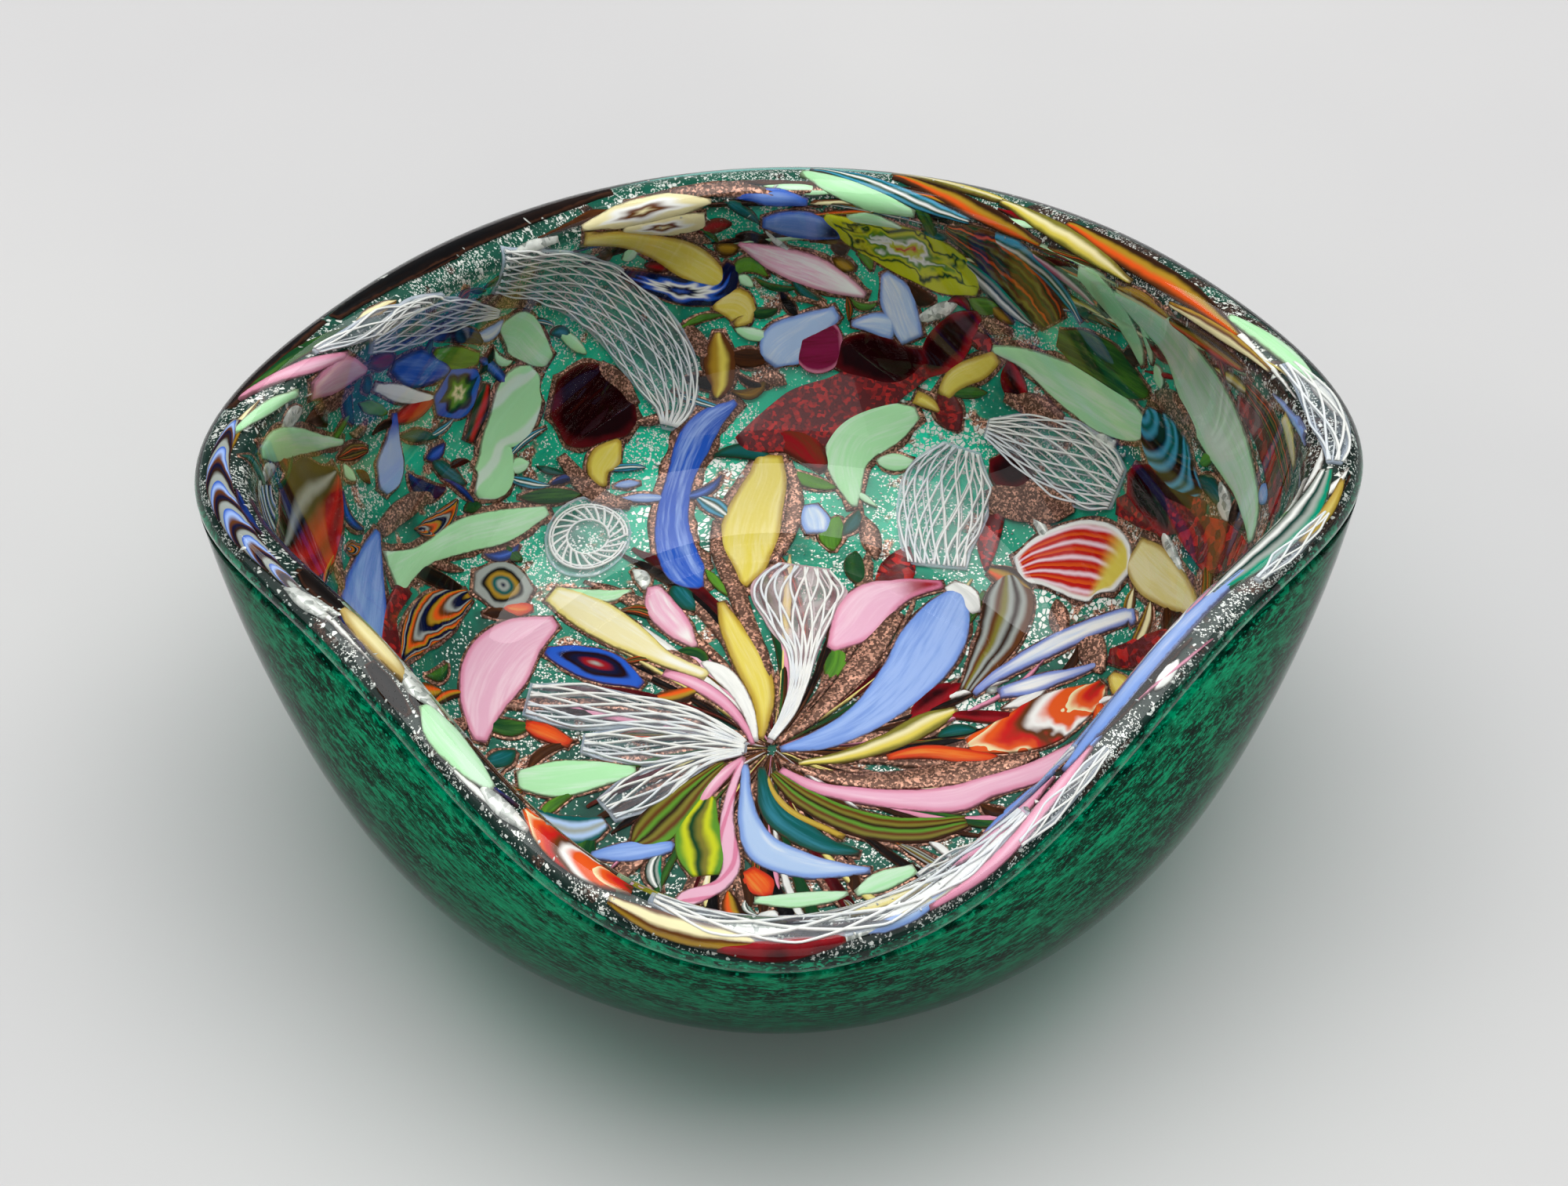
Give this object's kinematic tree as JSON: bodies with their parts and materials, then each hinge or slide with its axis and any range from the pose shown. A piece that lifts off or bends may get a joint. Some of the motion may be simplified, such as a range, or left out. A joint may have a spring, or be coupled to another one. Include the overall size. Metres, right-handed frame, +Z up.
{
  "type": "art glass bowl",
  "caption": "Thick-walled art glass bowl with two raised corners: emerald outer glass and clear inner glass fused around patterned coloured chips on silver foil.",
  "frame": {"origin": "middle of the bowl's length and width, on the plane of the flat base it rests on", "axes": "+Z up out of the bowl's mouth, +X from the middle towards the slightly higher of the two raised rim corners, +Y across towards the low back edge of the rim"},
  "size_m": [0.1496, 0.1418, 0.0627],
  "materials": {
    "emerald_glass": "polished, transparent deep emerald green, darker where the wall is thick",
    "clear_glass": "polished, clear and colourless",
    "silver_foil": "thin broken silver foil with copper-brown edges, seen through glass",
    "lattice_cane": "opaque white netted threads in clear glass, fire-polished",
    "mint_glass": "opaque pale mint green with soft white streaks",
    "blue_glass": "opaque cobalt and mid blue, streaked",
    "ice_blue_glass": "opaque pale blue with darker edges",
    "yellow_glass": "opaque ochre yellow, streaked",
    "cream_glass": "opaque cream with yellow ends",
    "pink_glass": "opaque rose pink with white streaks",
    "ruby_glass": "deep ruby red, near black in the middle",
    "murrine": "patterned cane slices: flames, stars, shells and eyes in several colours",
    "streaked_glass": "brown and olive glass with fine lengthwise streaks",
    "turquoise_glass": "turquoise with lengthwise stripes and a dark end"
  },
  "bodies": {
    "root": {"green_outer_casing": "emerald_glass", "silver_foil_ground": "silver_foil", "clear_inner_casing": "clear_glass", "lattice_cane_large": "lattice_cane", "lattice_cane_rim": "lattice_cane", "lattice_basket": "lattice_cane", "lattice_leaf": "lattice_cane", "lattice_fan": "lattice_cane", "lattice_cane_west": "lattice_cane", "white_ring_murrine": "lattice_cane", "mint_chip_back": "mint_glass", "mint_twist": "mint_glass", "mint_leaf_left": "mint_glass", "mint_ribbon_left": "mint_glass", "mint_bent_chip": "mint_glass", "mint_diagonal": "mint_glass", "mint_stripe_rim": "mint_glass", "big_mint_leaf": "mint_glass", "mint_leaf_southwest": "mint_glass", "mint_leaf_front": "mint_glass", "cobalt_leaf": "blue_glass", "blue_leaf_left": "blue_glass", "blue_chip_rim": "blue_glass", "blue_ribbon_back": "blue_glass", "blue_ribbon_front": "blue_glass", "ice_blue_leaf_back": "ice_blue_glass", "ice_blue_oval": "ice_blue_glass", "ice_blue_ribbon_centre": "ice_blue_glass", "ice_blue_leaf_south": "ice_blue_glass", "yellow_ribbon_back": "yellow_glass", "yellow_arc": "yellow_glass", "yellow_ribbon_centre": "yellow_glass", "yellow_ribbon_inner": "yellow_glass", "yellow_leaf_front": "yellow_glass", "cream_ribbon": "cream_glass", "cream_leaf_right": "cream_glass", "pink_leaf_rim": "pink_glass", "pink_leaf_large": "pink_glass", "pink_white_leaf": "pink_glass", "pink_leaf_small": "pink_glass", "pink_leaf_right": "pink_glass", "pink_ribbon_long": "pink_glass", "pink_leaf_front": "pink_glass", "ruby_striped_chip": "ruby_glass", "ruby_round_chip": "ruby_glass", "ruby_disc": "ruby_glass", "ruby_chip_back": "ruby_glass", "ruby_chip_right": "ruby_glass", "star_murrine": "murrine", "flame_murrine": "murrine", "eye_murrine": "murrine", "green_yellow_murrine": "murrine", "orange_shell_murrine": "murrine", "orange_white_murrine": "murrine", "olive_leaf": "streaked_glass", "grey_striped_leaf": "streaked_glass", "brown_leaf_southwest": "streaked_glass", "olive_ribbon_south": "streaked_glass", "turquoise_striped_chip": "turquoise_glass"}
  },
  "joints": []
}
